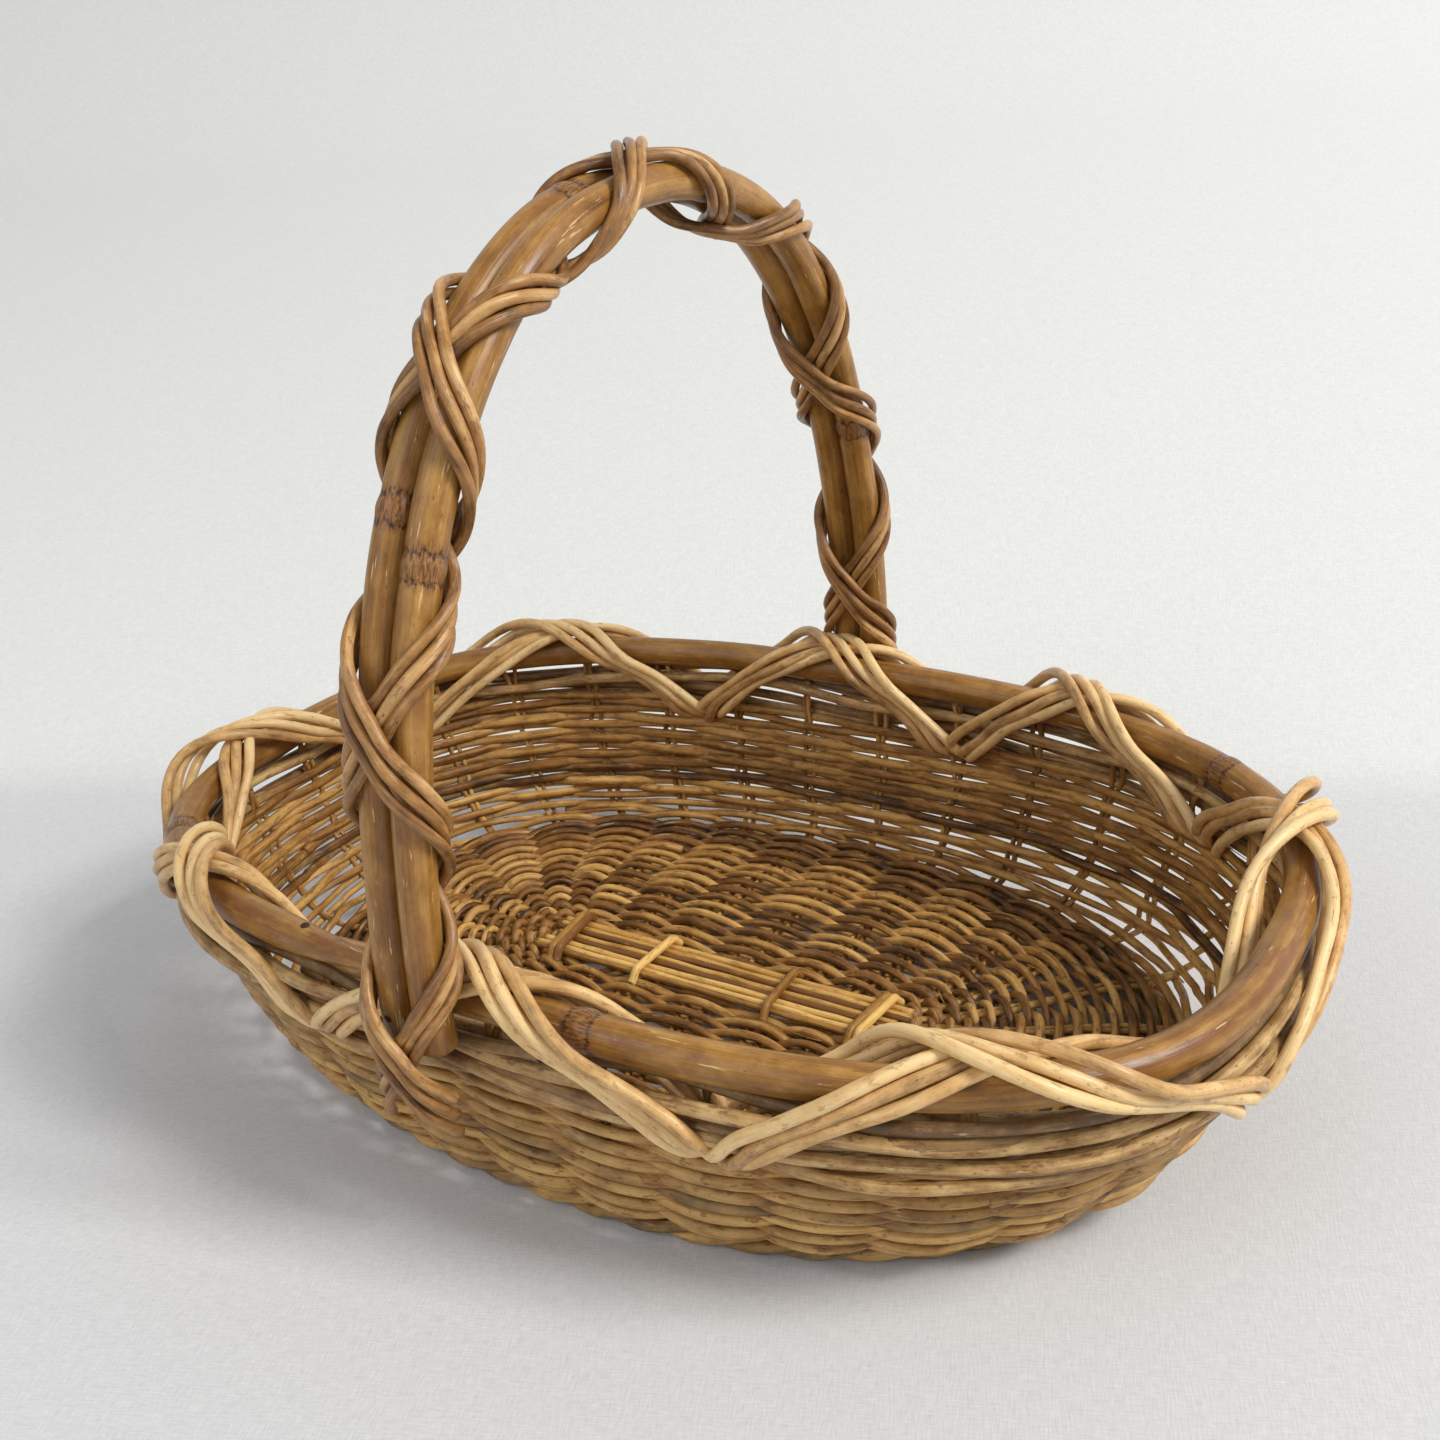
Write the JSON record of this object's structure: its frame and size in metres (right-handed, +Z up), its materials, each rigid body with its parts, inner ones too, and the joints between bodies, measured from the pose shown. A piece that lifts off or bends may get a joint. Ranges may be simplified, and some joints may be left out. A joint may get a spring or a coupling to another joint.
{
  "type": "woven market basket",
  "caption": "Shallow oval woven cane basket with a thick bound rim and a tall arched carrying handle over the short axis.",
  "frame": {"origin": "middle of the bounding box on the surface the basket stands on", "axes": "+X along the basket, +Z up, handle arched over the Y axis"},
  "size_m": [0.534, 0.3925, 0.3896],
  "materials": {
    "rim_cane": "satin",
    "handle_cane": "satin",
    "binding_cane": "satin",
    "weave_cane": "matte",
    "stake_cane": "matte",
    "spine_cane": "matte",
    "nail_steel": "dull"
  },
  "bodies": {
    "root": {"wale_1": "weave_cane", "wale_2": "weave_cane", "wale_3": "weave_cane", "rim_binding_a1": "binding_cane", "rim_binding_a2": "binding_cane", "rim_binding_a3": "binding_cane", "rim_binding_b1": "binding_cane", "rim_binding_b2": "binding_cane", "rim_binding_b3": "binding_cane", "handle_binding_a1": "binding_cane", "handle_binding_a2": "binding_cane", "handle_binding_a3": "binding_cane", "handle_binding_b1": "binding_cane", "handle_binding_b2": "binding_cane", "handle_binding_b3": "binding_cane", "rim_hoop": "rim_cane", "rim_nail": "nail_steel", "handle_nail_near_left": "nail_steel", "handle_nail_near_right": "nail_steel", "handle_nail_far_left": "nail_steel", "handle_nail_far_right": "nail_steel", "handle_cane_left": "handle_cane", "handle_cane_right": "handle_cane", "weave_outside": "weave_cane", "weave_inside": "weave_cane", "stake_1": "stake_cane", "stake_2": "stake_cane", "stake_3": "stake_cane", "stake_4": "stake_cane", "stake_5": "stake_cane", "stake_6": "stake_cane", "stake_7": "stake_cane", "stake_8": "stake_cane", "stake_9": "stake_cane", "stake_10": "stake_cane", "stake_11": "stake_cane", "stake_12": "stake_cane", "stake_13": "stake_cane", "stake_14": "stake_cane", "stake_15": "stake_cane", "stake_16": "stake_cane", "stake_17": "stake_cane", "stake_18": "stake_cane", "stake_19": "stake_cane", "stake_20": "stake_cane", "stake_21": "stake_cane", "stake_22": "stake_cane", "stake_23": "stake_cane", "stake_24": "stake_cane", "stake_25": "stake_cane", "spine_band": "spine_cane", "spine_tie_1": "spine_cane", "spine_tie_2": "spine_cane", "spine_tie_3": "spine_cane", "spine_tie_4": "spine_cane", "foot_cane_outer": "weave_cane", "foot_cane_inner": "weave_cane"}
  },
  "joints": []
}
